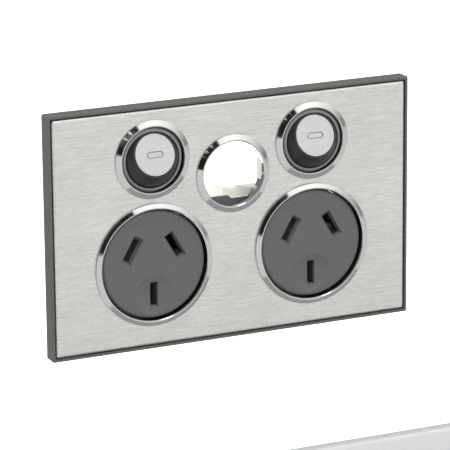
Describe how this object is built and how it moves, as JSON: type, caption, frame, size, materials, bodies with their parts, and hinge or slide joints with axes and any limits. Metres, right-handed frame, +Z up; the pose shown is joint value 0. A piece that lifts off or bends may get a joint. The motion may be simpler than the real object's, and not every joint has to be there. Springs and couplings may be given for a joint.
{
  "type": "twin switched socket outlet",
  "caption": "Wall outlet with a clip-on brushed steel cover, two earthed flat-pin sockets, a tipping rocker switch for each and a round spare aperture between them.",
  "frame": {"origin": "centre of the wall plane, midway between the two fixing screws", "axes": "+X to the right along the plate, +Y into the wall, +Z up the wall; the front faces -Y"},
  "size_m": [0.117, 0.0309, 0.074],
  "materials": {
    "brushed_steel": "fine horizontal brushing",
    "frame_plastic": "moulded, light texture",
    "bright_plate": "bright plating on moulded rings",
    "grid_plastic": "moulded, dark grey",
    "face_plastic": "fine sparkle",
    "bezel_plastic": "satin",
    "cream_plastic": "moulded, satin",
    "rocker_plastic": "smooth",
    "silver_cap": "fine silver grain",
    "spring_steel": "drawn wire",
    "white_nylon": "smooth",
    "zinc_steel": "bright zinc",
    "silver_contact": "silver alloy",
    "brass": "pressed sheet"
  },
  "bodies": {
    "base": {"grid_plate": "grid_plastic", "rear_body": "cream_plastic", "line_bar": "brass", "neutral_bar": "brass", "earth_bar": "brass", "active_terminal_block": "brass", "earth_terminal_block": "brass", "neutral_terminal_block": "brass", "loop_terminal": "brass", "terminal_screws": "zinc_steel", "body_screws": "zinc_steel", "socket_face_left": "face_plastic", "switch_bezel_left": "bezel_plastic", "load_contact_left": "brass", "fixed_tip_left": "silver_contact", "socket_face_right": "face_plastic", "switch_bezel_right": "bezel_plastic", "load_contact_right": "brass", "fixed_tip_right": "silver_contact"},
    "cover": {"steel_skin": "brushed_steel", "cover_frame": "frame_plastic", "aperture_ring": "bright_plate", "socket_ring_left": "bright_plate", "switch_ring_left": "bright_plate", "socket_ring_right": "bright_plate", "switch_ring_right": "bright_plate"},
    "left_rocker": {"rocker_left": "rocker_plastic", "rocker_cap_left": "silver_cap", "rocker_spring_left": "spring_steel"},
    "left_plunger": {"plunger_left": "white_nylon"},
    "left_seesaw": {"moving_contact_left": "brass", "moving_tip_left": "silver_contact"},
    "right_rocker": {"rocker_right": "rocker_plastic", "rocker_cap_right": "silver_cap", "rocker_spring_right": "spring_steel"},
    "right_plunger": {"plunger_right": "white_nylon"},
    "right_seesaw": {"moving_contact_right": "brass", "moving_tip_right": "silver_contact"}
  },
  "joints": [
    {"name": "cover_pull", "type": "slide", "parent": "base", "child": "cover", "axis": [0, -1, 0], "range_m": [0, 0.012]},
    {"name": "left_rocker_tilt", "type": "hinge", "parent": "base", "child": "left_rocker", "pos_m": [-0.0261, -0.0015, 0.02085], "axis": [1, 0, 0], "range_deg": [0, 34]},
    {"name": "left_plunger_slide", "type": "slide", "parent": "left_rocker", "child": "left_plunger", "axis": [0, -0.9563, 0.2924], "range_m": [0, 0.001], "stiffness_N_per_m": 150, "springref_m": -0.001, "deforming": ["rocker_spring_left"]},
    {"name": "left_seesaw_rock", "type": "hinge", "parent": "base", "child": "left_seesaw", "pos_m": [-0.0261, 0.00816, 0.02085], "axis": [1, 0, 0], "range_deg": [-16, 0]},
    {"name": "right_rocker_tilt", "type": "hinge", "parent": "base", "child": "right_rocker", "pos_m": [0.0259, -0.0015, 0.02085], "axis": [1, 0, 0], "range_deg": [0, 34]},
    {"name": "right_plunger_slide", "type": "slide", "parent": "right_rocker", "child": "right_plunger", "axis": [0, -0.9563, 0.2924], "range_m": [0, 0.001], "stiffness_N_per_m": 150, "springref_m": -0.001, "deforming": ["rocker_spring_right"]},
    {"name": "right_seesaw_rock", "type": "hinge", "parent": "base", "child": "right_seesaw", "pos_m": [0.0259, 0.00816, 0.02085], "axis": [1, 0, 0], "range_deg": [-16, 0]}
  ],
  "couplings": [
    {"joint": "left_seesaw_rock", "follows": "left_rocker_tilt", "ratio": -0.47},
    {"joint": "right_seesaw_rock", "follows": "right_rocker_tilt", "ratio": -0.47}
  ]
}
